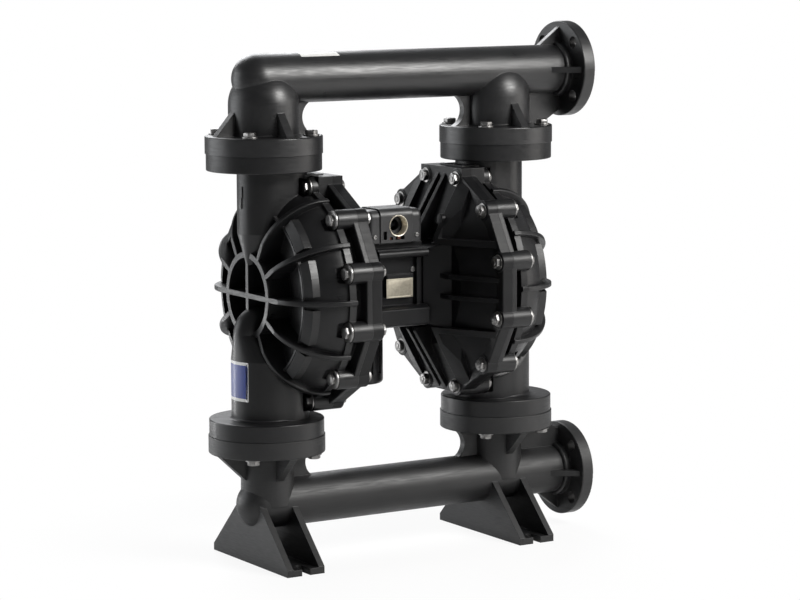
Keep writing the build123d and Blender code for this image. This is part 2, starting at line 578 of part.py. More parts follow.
def air_cover():
    """Right-hand air cover: clamping rim, dished wall, webs and neck."""
    body = rim_plate(AIR_RIM_X, SEAM_X, 0)
    wall_x = AIR_FLOOR_X - AIR_WALL
    shell = [(wall_x, 0), (SEAM_X, 0), (SEAM_X, 160), (AIR_RIM_X, 160)]
    shell += [(wall_x, AIR_FLOOR_R + 4)]
    body += turned_x(Polyline(*shell, close=True))
    for web in air_webs():
        body += web
    for piece in around_shaft(bolt_boss(AIR_RIM_X - 1, SEAM_X, 0), bolt_angles()):
        body += piece
    body += rim_block(AIR_RIM_X, SEAM_X)
    body += air_neck()
    boss_z = SHAFT_Z + 104
    for y in (-AIR_STUD_Y, AIR_STUD_Y):
        body += rod_x(AIR_STUD_R, AIR_STUD_X, AIR_FLOOR_X + 6, y, boss_z)
    body -= air_dish()
    body -= rod_x(24, HOUSING_X - 1, AIR_FLOOR_X + 1, z=SHAFT_Z)
    body -= rod_x(PIN_R + 4, HOUSING_X - 1, AIR_FLOOR_X + 1, z=SHAFT_Z + PIN_OFFSET_Z)
    for hole in cover_holes(AIR_RIM_X - 2, SEAM_X + 1):
        body -= hole
    nut_seat = rod_x(NUT_SEAT_R, AIR_RIM_X - 16, AIR_RIM_X - 1, z=SHAFT_Z + COVER_BOLT_R)
    for piece in around_shaft(nut_seat, bolt_angles()):
        body -= piece
    valve_room = box(HOUSING_X - 1, 60, VALVE_FRONT_Y - 2, 11, HOUSING_Z1 - 2, 546)
    body -= valve_room
    for spot_y, spot_z in AIR_SCREW_SPOTS:
        body -= rod_x(4.5, HOUSING_X - 1, AIR_FLOOR_X + 1, spot_y, SHAFT_Z + spot_z)
    return body


def air_dish():
    """The dry space on the diaphragm's side of an air cover."""
    lip_x = SEAM_X - DIAPHRAGM_T
    dish = [(AIR_FLOOR_X, 0), (SEAM_X + 1, 0), (SEAM_X + 1, 157), (lip_x, 157)]
    dish += [(lip_x, 146), (AIR_FLOOR_X, AIR_FLOOR_R)]
    return turned_x(Polyline(*dish, close=True))


AIR_SCREW_SPOTS = [(-34, -46), (42, -46), (-34, 50), (42, 50)]


# ---- middle section -----------------------------------------------------------------
def center_housing():
    """Middle housing that holds the shaft, the pilot pins and the air passages."""
    x = HOUSING_X
    body = box(-x, x, -HOUSING_Y, 52, HOUSING_Z0, HOUSING_Z1)
    body += box(-x, x, BAR_Y, -HOUSING_Y, TOP_BAR_Z - TOP_BAR_R, HOUSING_Z1 - 8)
    body += rod_x(TOP_BAR_R, -x, x, BAR_Y, TOP_BAR_Z)
    low_y = BAR_Y + 6
    body += box(-x, x, low_y, -HOUSING_Y, HOUSING_Z0, LOW_BAR_Z + LOW_BAR_R)
    low_bar = rod_x(LOW_BAR_R, -x, x, low_y, LOW_BAR_Z)
    body += low_bar & box(-x, x, low_y - 12, low_y, HOUSING_Z0, LOW_BAR_Z + LOW_BAR_R)
    body += box(-24, 23, -52, -HOUSING_Y, 402, 438)
    for rib_x in (-34, 33):
        body += box(rib_x - 2, rib_x + 2, -50, -HOUSING_Y, HOUSING_Z0 + 30, TOP_BAR_Z)
    body += box(-34, 34, 52, 112, HOUSING_Z0, 420)
    body -= rod_x(20, -x - 1, x + 1, z=SHAFT_Z)
    body -= rod_x(PIN_R + FIT, -x - 1, x + 1, z=SHAFT_Z + PIN_OFFSET_Z)
    body -= rod_z(18, HOUSING_Z0 - 1, 400, 0, MUFFLER_Y)
    for spot_y, spot_z in AIR_SCREW_SPOTS:
        for side in (-1, 1):
            ends = sorted((side * (x - 24), side * (x + 1)))
            body -= rod_x(4.0, *ends, spot_y, SHAFT_Z + spot_z)
    return body


def shaft_bush():
    """Plain bearing at one end of the middle housing."""
    bush = rod_x(20, HOUSING_X - 24, HOUSING_X, z=SHAFT_Z)
    return bush - rod_x(SHAFT_R + FIT, HOUSING_X - 25, HOUSING_X + 1, z=SHAFT_Z)


def shaft_seal():
    """Lip seal beside the bearing, held in the air cover's neck."""
    seal = rod_x(24, HOUSING_X, HOUSING_X + 8, z=SHAFT_Z)
    return seal - rod_x(SHAFT_R + 0.1, HOUSING_X - 1, HOUSING_X + 9, z=SHAFT_Z)


def muffler():
    """Exhaust muffler that hangs from the middle housing's back."""
    can = Cylinder(MUFFLER_R, MUFFLER_Z1 - MUFFLER_Z0)
    can = Pos(0, MUFFLER_Y, (MUFFLER_Z0 + MUFFLER_Z1) / 2) * rounded_ends(can, 6.0)
    for angle in range(0, 360, 30):
        slot = box(MUFFLER_R - 4, MUFFLER_R + 1, -4, 4, MUFFLER_Z0 + 16, MUFFLER_Z1 - 22)
        can -= Pos(0, MUFFLER_Y, 0) * Rot(0, 0, angle) * slot
    can += rod_z(MUFFLER_NECK_R, MUFFLER_Z1 - 2, HOUSING_Z0, 0, MUFFLER_Y)
    return can + rod_z(MUFFLER_SPIGOT_R, HOUSING_Z0 - 4, 396, 0, MUFFLER_Y)


def air_screw():
    """Socket screw that holds an air cover to the middle housing."""
    spot_y, spot_z = AIR_SCREW_SPOTS[0]
    head = rod_x(7, AIR_FLOOR_X, AIR_FLOOR_X + 6, spot_y, SHAFT_Z + spot_z)
    return head + rod_x(3.95, HOUSING_X - 20, AIR_FLOOR_X, spot_y, SHAFT_Z + spot_z)


# ---- air valve ----------------------------------------------------------------------
def valve_block(x0, x1, shrink=0.0):
    """Rounded block of the air valve between two ends."""
    block = box(x0, x1, VALVE_FRONT_Y + shrink, 8 - shrink, 489, 542 - shrink)
    return fillet(block.edges().filter_by(Axis.X).sort_by(Axis.Z)[-2:], 12)


def air_valve_body():
    """Air valve housing with the compressed air inlet in front."""
    body = valve_block(VALVE_X - VALVE_HALF, VALVE_X + VALVE_HALF)
    body -= rod_x(VALVE_BORE_R, -60, 60, VALVE_Y, VALVE_Z)
    body -= rod_y(AIR_PORT_SLEEVE_R, VALVE_FRONT_Y - 1, VALVE_FRONT_Y + AIR_PORT_L,
                  AIR_PORT_X, VALVE_Z)
    body -= rod_y(9, VALVE_FRONT_Y, VALVE_Y, AIR_PORT_X, VALVE_Z)
    for x0, x1, z0, z1 in ((-33, -27, 494, 507), (-22, -16, 493, 498), (-11, 5, 493, 499)):
        body -= box(x0, x1, VALVE_FRONT_Y - 1, VALVE_FRONT_Y + 7, z0, z1)
    return body


def air_valve_cap(side):
    """End cap that closes the spool bore."""
    x0 = VALVE_X + side * VALVE_HALF
    x1 = x0 + side * CAP_L
    cap = valve_block(min(x0, x1), max(x0, x1), 2.0)
    end_face = cap.faces().sort_by(Axis.X)[-1 if side > 0 else 0]
    cap = fillet(end_face.edges(), 7)
    depth = sorted((x0 - side, x0 + side * 10))
    return cap - rod_x(VALVE_BORE_R - 3, *depth, VALVE_Y, VALVE_Z)


def air_valve_spool():
    """Spool with three lands that steers air to one chamber or the other."""
    spool = rod_x(8, -31, 9, VALVE_Y, VALVE_Z)
    for x in (-37, -17, 3):
        spool += rod_x(VALVE_BORE_R - FIT, x, x + 8, VALVE_Y, VALVE_Z)
    return spool


def air_inlet_sleeve():
    """Brass sleeve with the pipe thread of the air inlet."""
    y1 = VALVE_FRONT_Y + AIR_PORT_L
    sleeve = rod_y(AIR_PORT_SLEEVE_R - 0.02, VALVE_FRONT_Y - 1, y1, AIR_PORT_X, VALVE_Z)
    return sleeve - rod_y(AIR_PORT_R, VALVE_FRONT_Y - 2, y1 + 1, AIR_PORT_X, VALVE_Z)


def air_valve_gasket():
    """Flat gasket between the air valve and the middle housing."""
    return box(VALVE_X - VALVE_HALF, VALVE_X + VALVE_HALF, -50, 6, HOUSING_Z1, 489)


# ---- check valves and moving train --------------------------------------------------
def valve_seat(x, z):
    """Seat ring with the bevel that the ball closes on."""
    points = [(SEAT_BORE_R, 0), (SEAT_R, 0), (SEAT_R, SEAT_T), (SEAT_BORE_R + 6, SEAT_T)]
    points += [(SEAT_BORE_R, SEAT_T - 6)]
    return turned_z(points, x, z)


def check_ball(x, seat_top_z):
    """A check ball on its seat."""
    return Pos(x, 0, ball_rest_z(seat_top_z)) * Sphere(BALL_R)


def diaphragm():
    """Flexing disc with a moulded roll, clamped at its rim and by the two plates."""
    back, front = SEAM_X - DIAPHRAGM_T, SEAM_X
    outline = Polyline((back, SHAFT_R), (front, SHAFT_R), (front, 98))
    outline += ThreePointArc((front, 98), (front + 12, 120), (front, 142))
    outline += Polyline((front, 142), (front, DIAPHRAGM_R), (back, DIAPHRAGM_R))
    outline += Polyline((back, DIAPHRAGM_R), (back, 138))
    outline += ThreePointArc((back, 138), (front + 7, 120), (back, 102))
    outline += Line((back, 102), (back, SHAFT_R))
    return turned_x(outline)


def fluid_plate():
    """Dished clamping plate on the wet side of a diaphragm."""
    top = SEAM_X + FLUID_PLATE_T
    outline = Polyline((SEAM_X, 0), (top + 6, 0), (top + 6, 20), (top, 30), (top, PLATE_R - 12))
    outline += ThreePointArc((top, PLATE_R - 12), (top - 3.5, PLATE_R - 3.5), (SEAM_X, PLATE_R))
    outline += Line((SEAM_X, PLATE_R), (SEAM_X, 0))
    return turned_x(outline)


def air_plate():
    """Flat clamping plate on the air side of a diaphragm."""
    x1 = SEAM_X - DIAPHRAGM_T
    plate = rod_x(PLATE_R, x1 - AIR_PLATE_T, x1, z=SHAFT_Z)
    return plate - rod_x(SHAFT_R, x1 - AIR_PLATE_T - 1, x1 + 1, z=SHAFT_Z)


def pilot_pin():
    """Pin that a diaphragm plate pushes at the end of its stroke."""
    return rod_x(PIN_R, 4, PIN_TIP_X, z=SHAFT_Z + PIN_OFFSET_Z)


def pilot_bush():
    """Guide of a pilot pin in the floor of an air cover."""
    bush = rod_x(PIN_R + 4, 66, AIR_FLOOR_X, z=SHAFT_Z + PIN_OFFSET_Z)
    return bush - rod_x(PIN_R + FIT, 65, AIR_FLOOR_X + 1, z=SHAFT_Z + PIN_OFFSET_Z)


# ---- fasteners ----------------------------------------------------------------------
def cover_bolts():
    """Through bolts of one pair of covers, heads outside."""
    bolt = Pos(BOSS_X, 0, SHAFT_Z + COVER_BOLT_R) * Rot(0, 90, 0) * hex_bolt(62, COVER_WASHER_R)
    return around_shaft(bolt, bolt_angles())


def cover_nuts():
    """Nuts on the inner side of the air cover."""
    nut = Pos(AIR_RIM_X - 1, 0, SHAFT_Z + COVER_BOLT_R) * Rot(0, -90, 0) * hex_nut()
    return around_shaft(nut, bolt_angles())


def joint_bolts(z, up):
    """Bolts of both towers at one joint; up is +1 when the heads are on top."""
    bolts = []
    for x in (-TOWER_X, TOWER_X):
        for spot in joint_spots(x):
            bolt = hex_bolt(JOINT_FLANGE_T + INSERT_L - 2, JOINT_WASHER_R)
            bolt = bolt if up > 0 else Rot(180, 0, 0) * bolt
            bolts.append(spot * Pos(0, 0, z) * bolt)
    return bolts


def joint_inserts(z, up):
    """Threaded inserts moulded into the cover flanges at one joint."""
    z0, z1 = (z - INSERT_L, z) if up > 0 else (z, z + INSERT_L)
    sleeve = rod_z(INSERT_R - 0.02, z0, z1) - rod_z(BOLT_R + FIT, z0 - 1, z1 + 1)
    return [spot * sleeve for x in (-TOWER_X, TOWER_X) for spot in joint_spots(x)]


# ---- write every node ---------------------------------------------------------------
keep("outlet_manifold", outlet_manifold())
keep("inlet_manifold", inlet_manifold())
keep("center_housing", center_housing())
keep("exhaust_muffler", muffler())
keep("air_valve_body", air_valve_body())
keep("air_valve_left_cap", air_valve_cap(-1))
keep("air_valve_right_cap", air_valve_cap(1))
keep("air_valve_spool", air_valve_spool())
keep("air_valve_gasket", air_valve_gasket())
keep("air_inlet_sleeve", air_inlet_sleeve())

sides = {
    "fluid_cover": fluid_cover(),
    "air_cover": air_cover(),
    "diaphragm": diaphragm(),
    "fluid_plate": fluid_plate(),
    "air_plate": air_plate(),
    "pilot_pin": pilot_pin(),
    "pilot_bush": pilot_bush(),
    "shaft_bush": shaft_bush(),
    "shaft_seal": shaft_seal(),
}
for name, solid in sides.items():
    keep("right_" + name, solid)
    keep("left_" + name, mirrored(solid))

groups = {"cover_bolts": cover_bolts(), "cover_nuts": cover_nuts()}
for name, solids in groups.items():
    keep("right_" + name, *solids)
    keep("left_" + name, *[mirrored(s) for s in solids])
screws = [
    Pos(0, y - AIR_SCREW_SPOTS[0][0], z - AIR_SCREW_SPOTS[0][1]) * air_screw()
    for y, z in AIR_SCREW_SPOTS
]
keep("air_cover_screws", *screws, *[mirrored(s) for s in screws])

keep("diaphragm_shaft", rod_x(SHAFT_R - 0.05, -SEAM_X, SEAM_X, z=SHAFT_Z))
lower_seat_top, upper_seat_top = LOWER_JOINT_Z + SEAT_T, UPPER_JOINT_Z + SEAT_T
keep("inlet_seats", *[valve_seat(x, LOWER_JOINT_Z) for x in (-TOWER_X, TOWER_X)])
keep("outlet_seats", *[valve_seat(x, UPPER_JOINT_Z) for x in (-TOWER_X, TOWER_X)])
for side, x in (("left", -TOWER_X), ("right", TOWER_X)):
    keep(side + "_inlet_ball", check_ball(x, lower_seat_top))
    keep(side + "_outlet_ball", check_ball(x, upper_seat_top))

keep("outlet_joint_bolts", *joint_bolts(UPPER_JOINT_Z + JOINT_FLANGE_T, 1))
keep("inlet_joint_bolts", *joint_bolts(LOWER_JOINT_Z - JOINT_FLANGE_T, -1))
keep("outlet_joint_inserts", *joint_inserts(UPPER_JOINT_Z, 1))
keep("inlet_joint_inserts", *joint_inserts(LOWER_JOINT_Z, -1))
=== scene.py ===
import math

import bpy
from mathutils import Matrix, Vector


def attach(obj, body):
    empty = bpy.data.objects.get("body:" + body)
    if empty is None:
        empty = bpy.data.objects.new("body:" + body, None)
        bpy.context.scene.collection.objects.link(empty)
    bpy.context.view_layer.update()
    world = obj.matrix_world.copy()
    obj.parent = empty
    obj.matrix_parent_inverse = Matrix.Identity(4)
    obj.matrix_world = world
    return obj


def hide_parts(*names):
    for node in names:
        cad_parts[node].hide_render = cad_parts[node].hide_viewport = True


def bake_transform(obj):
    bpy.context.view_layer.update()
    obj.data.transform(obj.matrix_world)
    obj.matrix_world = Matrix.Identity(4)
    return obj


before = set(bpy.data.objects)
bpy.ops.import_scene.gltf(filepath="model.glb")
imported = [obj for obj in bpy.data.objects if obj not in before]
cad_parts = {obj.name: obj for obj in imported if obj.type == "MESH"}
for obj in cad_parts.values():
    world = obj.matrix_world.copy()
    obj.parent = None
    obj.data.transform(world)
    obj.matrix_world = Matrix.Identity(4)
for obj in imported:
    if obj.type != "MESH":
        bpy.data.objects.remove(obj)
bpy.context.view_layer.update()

# ---- camera -----------------------------------------------------------------------
# A long lens a little above the shaft, turned towards the fluid cover of the left
# chamber, so that both chambers, both manifolds and the air valve are in view.
camera_place = Vector((-2.28848, -3.78054, 0.97141))
camera_aim = Vector((0.03053, 0.0, 0.39035))
camera_lens = 127.77
camera_roll = math.radians(-0.2553)

camera_data = bpy.data.cameras.new("studio_camera")
camera_data.sensor_width = 36.0
camera_data.lens = camera_lens
camera = bpy.data.objects.new("studio_camera", camera_data)
bpy.context.scene.collection.objects.link(camera)
camera.location = camera_place
camera_turn = (camera_aim - camera_place).to_track_quat("-Z", "Y").to_matrix()
camera.rotation_mode = "QUATERNION"
camera.rotation_quaternion = (camera_turn @ Matrix.Rotation(camera_roll, 3, "Z")).to_quaternion()
bpy.context.scene.camera = camera
bpy.context.scene.view_settings.view_transform = "Standard"


# ---- inlet manifold ---------------------------------------------------------------
# One casting of black glass-filled polypropylene: two feet, the pipe and its end
# flange. It is injection moulded, so its skin is satin with a fine grain and a few
# cloudy flow marks where the plastic filled the tool.
def moulded_plastic(name, colour, rough=0.36, grain=900.0, shine=0.5):
    """Satin moulded plastic with fine grain, cloudy flow marks, scuffs, and edges painted
    lighter: partly wear, partly a painted highlight.
    """
    finish = bpy.data.materials.new(name)
    finish.use_nodes = True
    nodes, links = finish.node_tree.nodes, finish.node_tree.links
    skin = nodes["Principled BSDF"]
    skin.inputs["IOR"].default_value = 1.49
    skin.inputs["Specular IOR Level"].default_value = shine
    place = nodes.new("ShaderNodeTexCoord")

    clouds = nodes.new("ShaderNodeTexNoise")
    clouds.inputs["Scale"].default_value = 14.0
    clouds.inputs["Detail"].default_value = 5.0
    clouds.inputs["Roughness"].default_value = 0.55
    links.new(place.outputs["Object"], clouds.inputs["Vector"])
    tone = nodes.new("ShaderNodeValToRGB")
    tone.color_ramp.elements[0].position = 0.3
    tone.color_ramp.elements[0].color = (*[c * 0.75 for c in colour], 1)
    tone.color_ramp.elements[1].position = 0.7
    tone.color_ramp.elements[1].color = (*[c * 1.3 for c in colour], 1)
    links.new(clouds.outputs["Fac"], tone.inputs["Fac"])

    rounded = nodes.new("ShaderNodeBevel")
    rounded.samples = 4
    rounded.inputs["Radius"].default_value = 0.0012
    shape = nodes.new("ShaderNodeNewGeometry")
    apart = nodes.new("ShaderNodeVectorMath")
    apart.operation = "DOT_PRODUCT"
    links.new(rounded.outputs["Normal"], apart.inputs[0])
    links.new(shape.outputs["Normal"], apart.inputs[1])
    edges = nodes.new("ShaderNodeMapRange")
    edges.inputs["From Min"].default_value = 0.99
    edges.inputs["From Max"].default_value = 0.86
    links.new(apart.outputs["Value"], edges.inputs["Value"])
    patchy = nodes.new("ShaderNodeMath")
    patchy.operation = "MULTIPLY"
    links.new(edges.outputs["Result"], patchy.inputs[0])
    links.new(clouds.outputs["Fac"], patchy.inputs[1])
    # Edges painted lighter than the skin: partly wear, partly a painted highlight where the
    # rounded edges catch the light.
    edge_wear_and_highlight = nodes.new("ShaderNodeMix")
    edge_wear_and_highlight.data_type = "RGBA"
    edge_wear_and_highlight.inputs["B"].default_value = (*[c * 2.6 + 0.01 for c in colour], 1)
    links.new(patchy.outputs["Value"], edge_wear_and_highlight.inputs["Factor"])
    links.new(tone.outputs["Color"], edge_wear_and_highlight.inputs["A"])
    links.new(edge_wear_and_highlight.outputs["Result"], skin.inputs["Base Color"])

    matt = nodes.new("ShaderNodeMapRange")
    matt.inputs["From Min"].default_value = 0.3
    matt.inputs["From Max"].default_value = 0.7
    matt.inputs["To Min"].default_value = rough - 0.05
    matt.inputs["To Max"].default_value = rough + 0.07
    links.new(clouds.outputs["Fac"], matt.inputs["Value"])

    stretch = nodes.new("ShaderNodeMapping")
    stretch.inputs["Scale"].default_value = (45.0, 45.0, 700.0)
    links.new(place.outputs["Object"], stretch.inputs["Vector"])
    scuffs = nodes.new("ShaderNodeTexNoise")
    scuffs.inputs["Scale"].default_value = 1.0
    scuffs.inputs["Detail"].default_value = 3.0
    links.new(stretch.outputs["Vector"], scuffs.inputs["Vector"])
    rubbed = nodes.new("ShaderNodeMapRange")
    rubbed.inputs["From Min"].default_value = 0.35
    rubbed.inputs["From Max"].default_value = 0.7
    rubbed.inputs["To Min"].default_value = -0.05
    rubbed.inputs["To Max"].default_value = 0.1
    links.new(scuffs.outputs["Fac"], rubbed.inputs["Value"])
    dulled = nodes.new("ShaderNodeMath")
    dulled.operation = "ADD"
    links.new(matt.outputs["Result"], dulled.inputs[0])
    links.new(rubbed.outputs["Result"], dulled.inputs[1])
    links.new(dulled.outputs["Value"], skin.inputs["Roughness"])

    fine = nodes.new("ShaderNodeTexNoise")
    fine.inputs["Scale"].default_value = grain
    fine.inputs["Detail"].default_value = 2.0
    links.new(place.outputs["Object"], fine.inputs["Vector"])
    relief = nodes.new("ShaderNodeBump")
    relief.inputs["Strength"].default_value = 0.12
    relief.inputs["Distance"].default_value = 0.0002
    rough_skin = nodes.new("ShaderNodeMath")
    rough_skin.operation = "MULTIPLY_ADD"
    rough_skin.inputs[1].default_value = 1.6
    links.new(scuffs.outputs["Fac"], rough_skin.inputs[0])
    links.new(fine.outputs["Fac"], rough_skin.inputs[2])
    links.new(rough_skin.outputs["Value"], relief.inputs["Height"])
    links.new(rounded.outputs["Normal"], relief.inputs["Normal"])
    links.new(relief.outputs["Normal"], skin.inputs["Normal"])
    return finish


def dress(node, finish):
    """Give a CAD node its finish."""
    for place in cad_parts[node].material_slots:
        place.material = finish


inlet_plastic = moulded_plastic(
    "inlet_plastic", (0.0095, 0.0095, 0.0100), rough=0.45, shine=0.45)
dress("inlet_manifold", inlet_plastic)


# ---- lower seats and check balls --------------------------------------------------
# A white acetal seat ring and a tan moulded rubber ball under each chamber. The ball
# shows the fine matt skin and the faint mottling of a filled compound.
def moulded_rubber(name, colour, mottle, skin_scale):
    """Matt rubber with a soft sheen, mottled colour and a fine skin."""
    finish = bpy.data.materials.new(name)
    finish.use_nodes = True
    nodes, links = finish.node_tree.nodes, finish.node_tree.links
    skin = nodes["Principled BSDF"]
    skin.inputs["Sheen Weight"].default_value = 0.15
    place = nodes.new("ShaderNodeTexCoord")
    patches = nodes.new("ShaderNodeTexNoise")
    patches.inputs["Scale"].default_value = 90.0
    patches.inputs["Detail"].default_value = 3.0
    links.new(place.outputs["Object"], patches.inputs["Vector"])
    tone = nodes.new("ShaderNodeValToRGB")
    tone.color_ramp.elements[0].position = 0.3
    tone.color_ramp.elements[0].color = (*[c * (1 - mottle) for c in colour], 1)
    tone.color_ramp.elements[1].position = 0.7
    tone.color_ramp.elements[1].color = (*[min(1, c * (1 + mottle)) for c in colour], 1)
    links.new(patches.outputs["Fac"], tone.inputs["Fac"])
    links.new(tone.outputs["Color"], skin.inputs["Base Color"])
    dull = nodes.new("ShaderNodeMapRange")
    dull.inputs["To Min"].default_value = 0.55
    dull.inputs["To Max"].default_value = 0.8
    links.new(patches.outputs["Fac"], dull.inputs["Value"])
    links.new(dull.outputs["Result"], skin.inputs["Roughness"])
    pores = nodes.new("ShaderNodeTexVoronoi")
    pores.inputs["Scale"].default_value = skin_scale
    links.new(place.outputs["Object"], pores.inputs["Vector"])
    relief = nodes.new("ShaderNodeBump")
    relief.inputs["Strength"].default_value = 0.2
    relief.inputs["Distance"].default_value = 0.0002
    links.new(pores.outputs["Distance"], relief.inputs["Height"])
    links.new(relief.outputs["Normal"], skin.inputs["Normal"])
    return finish


seat_plastic = moulded_plastic("seat_plastic", (0.70, 0.70, 0.66), rough=0.32, grain=500.0)
ball_rubber = moulded_rubber("ball_rubber", (0.50, 0.34, 0.15), 0.2, 1500.0)
dress("inlet_seats", seat_plastic)
dress("left_inlet_ball", ball_rubber)
dress("right_inlet_ball", ball_rubber)

# ---- fluid covers -----------------------------------------------------------------
# The two ribbed chambers that hold the pumped liquid, moulded in the same plastic as the
# manifolds with their colour painted a little darker as shade, each with two upright tubes and
# twelve bolt bosses.
wet_side_plastic = moulded_plastic("wet_side_plastic", (0.0070, 0.0070, 0.0076), shine=0.38)
for side in ("left", "right"):
    dress(side + "_fluid_cover", wet_side_plastic)


# ---- flow arrows ------------------------------------------------------------------
# A raised arrow on the outer side of each upper tube, moulded in one with the cover.
# It points the way the liquid leaves, up to the outlet manifold.
def only_selected(piece):
    """Leave one object selected and active."""
    bpy.ops.object.select_all(action="DESELECT")
    piece.select_set(True)
    bpy.context.view_layer.objects.active = piece


def cut_with(piece, tool, operation):
    """Boolean of two closed shapes; the tool is used up."""
    only_selected(piece)
    step = piece.modifiers.new("cut", "BOOLEAN")
    step.operation = operation
    step.solver = "EXACT"
    step.object = tool
    bpy.ops.object.modifier_apply(modifier="cut")
    bpy.data.objects.remove(tool)


def soft_edges(piece, width, segments=2, angle=35):
    """Round the sharp edges a little and shade the rest smooth."""
    only_selected(piece)
    step = piece.modifiers.new("soft_edges", "BEVEL")
    step.width = width
    step.segments = segments
    step.limit_method = "ANGLE"
    step.angle_limit = math.radians(angle)
    bpy.ops.object.modifier_apply(modifier="soft_edges")
    bpy.ops.object.shade_smooth_by_angle(angle=math.radians(angle))


def finish_piece(piece, name, finish, body="pump_casing"):
    """Name a piece, put its place in its mesh and let it ride with its body."""
    only_selected(piece)
    bpy.ops.object.transform_apply(location=True, rotation=True, scale=True)
    piece.name = name
    piece.data.name = name
    piece.data.materials.clear()
    piece.data.materials.append(finish)
    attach(piece, body)
    return piece


upper_tube_r, arrow_depth, arrow_height = 0.042, 0.012, 0.0016
for side, sign in (("left", -1), ("right", 1)):
    tower_x, arrow_y = sign * 0.211, -0.002
    arrow_x = tower_x + sign * upper_tube_r
    bpy.ops.object.select_all(action="DESELECT")
    bpy.ops.mesh.primitive_cube_add(size=1.0, location=(arrow_x, arrow_y, 0.5615))
    arrow = bpy.context.active_object
    arrow.scale = (arrow_depth, 0.0070, 0.022)
    bpy.ops.object.transform_apply(location=True, rotation=True, scale=True)
    bpy.ops.object.select_all(action="DESELECT")
    bpy.ops.mesh.primitive_cylinder_add(
        vertices=3, radius=0.0105, depth=arrow_depth, location=(arrow_x, arrow_y, 0.5755),
        rotation=(0, math.radians(-90), 0))
    cut_with(arrow, bpy.context.active_object, "UNION")
    bpy.ops.object.select_all(action="DESELECT")
    bpy.ops.mesh.primitive_cylinder_add(
        vertices=160, radius=upper_tube_r + arrow_height, depth=0.08, location=(tower_x, 0, 0.57))
    cut_with(arrow, bpy.context.active_object, "INTERSECT")
    soft_edges(arrow, 0.0003)
    # The arrow takes the cover's finish, whose colour is painted a little darker as shade.
    finish_piece(arrow, side + "_flow_arrow", wet_side_plastic)

# ---- upper seats and check balls --------------------------------------------------
# The same ring and ball as below, loose in the cage of the outlet manifold's leg.
dress("outlet_seats", seat_plastic)
dress("left_outlet_ball", ball_rubber)
dress("right_outlet_ball", ball_rubber)

# ---- outlet manifold --------------------------------------------------------------
# The upper pipe with its two domed legs, moulded in the same plastic as the inlet and
# let down on the seats of the two chambers. It has kept more of its gloss.
outlet_plastic = moulded_plastic(
    "outlet_plastic", (0.0080, 0.0080, 0.0086), rough=0.36, shine=0.55)
dress("outlet_manifold", outlet_plastic)


# ---- joint bolts ------------------------------------------------------------------
# Hexagon head bolts with washers, rolled and chamfered from stainless bar, four round
# each of the four joints. They turn into knurled brass inserts in the covers' flanges.
def worn_metal(name, colour, rough, grain):
    """Machined metal with fine tool marks and a slightly uneven polish."""
    finish = bpy.data.materials.new(name)
    finish.use_nodes = True
    nodes, links = finish.node_tree.nodes, finish.node_tree.links
    skin = nodes["Principled BSDF"]
    skin.inputs["Metallic"].default_value = 1.0
    place = nodes.new("ShaderNodeTexCoord")
    marks = nodes.new("ShaderNodeTexNoise")
    marks.inputs["Scale"].default_value = grain
    marks.inputs["Detail"].default_value = 4.0
    links.new(place.outputs["Object"], marks.inputs["Vector"])
    tone = nodes.new("ShaderNodeValToRGB")
    tone.color_ramp.elements[0].position = 0.25
    tone.color_ramp.elements[0].color = (*[c * 0.7 for c in colour], 1)
    tone.color_ramp.elements[1].position = 0.75
    tone.color_ramp.elements[1].color = (*colour, 1)
    links.new(marks.outputs["Fac"], tone.inputs["Fac"])
    links.new(tone.outputs["Color"], skin.inputs["Base Color"])
    polish = nodes.new("ShaderNodeMapRange")
    polish.inputs["To Min"].default_value = rough - 0.08
    polish.inputs["To Max"].default_value = rough + 0.12
    links.new(marks.outputs["Fac"], polish.inputs["Value"])
    links.new(polish.outputs["Result"], skin.inputs["Roughness"])
    rounded = nodes.new("ShaderNodeBevel")
    rounded.samples = 4
    rounded.inputs["Radius"].default_value = 0.0006
    relief = nodes.new("ShaderNodeBump")
    relief.inputs["Strength"].default_value = 0.15
    relief.inputs["Distance"].default_value = 0.0001
    links.new(marks.outputs["Fac"], relief.inputs["Height"])
    links.new(rounded.outputs["Normal"], relief.inputs["Normal"])
    links.new(relief.outputs["Normal"], skin.inputs["Normal"])
    return finish


def chamfered_hexagon(across, z0, height, both_ends):
    """Hexagon prism with its corners turned off, standing on z0."""
    corner = across / 2 / math.cos(math.radians(30))
    middle = (0, 0, z0 + height / 2)
    bpy.ops.object.select_all(action="DESELECT")
    bpy.ops.mesh.primitive_cylinder_add(vertices=6, radius=corner, depth=height, location=middle)
    hexagon = bpy.context.active_object
    flat_r, rise = 0.47 * across, height * math.tan(math.radians(60))
    for turned in (0, math.pi) if both_ends else (0,):
        bpy.ops.object.select_all(action="DESELECT")
        bpy.ops.mesh.primitive_cone_add(
            vertices=48, radius1=flat_r + rise, radius2=flat_r, depth=height, location=middle,
            rotation=(turned, 0, 0))
        cut_with(hexagon, bpy.context.active_object, "INTERSECT")
    only_selected(hexagon)
    bpy.ops.object.transform_apply(location=True, rotation=True, scale=True)
    return hexagon


def joined(pieces):
    """Several objects as one mesh."""
    only_selected(pieces[0])
    for piece in pieces:
        piece.select_set(True)
    bpy.ops.object.join()
    return bpy.context.active_object


across_flats, head_h, washer_t, thread_r = 0.017, 0.0065, 0.0025, 0.0049


def hexagon_bolt(washer_r, length):
    """Bolt along -Z with its washer standing on Z = 0."""
    head = chamfered_hexagon(across_flats, washer_t, head_h, both_ends=False)
    bpy.ops.object.select_all(action="DESELECT")
    bpy.ops.mesh.primitive_cylinder_add(
        vertices=48, radius=washer_r, depth=washer_t, location=(0, 0, washer_t / 2))
    washer = bpy.context.active_object
    bpy.ops.object.select_all(action="DESELECT")
    bpy.ops.mesh.primitive_cylinder_add(
        vertices=32, radius=thread_r, depth=length, location=(0, 0, 0.001 - length / 2))
    shank = bpy.context.active_object
    bolt = joined([head, washer, shank])
    soft_edges(bolt, 0.00035)
    return bolt


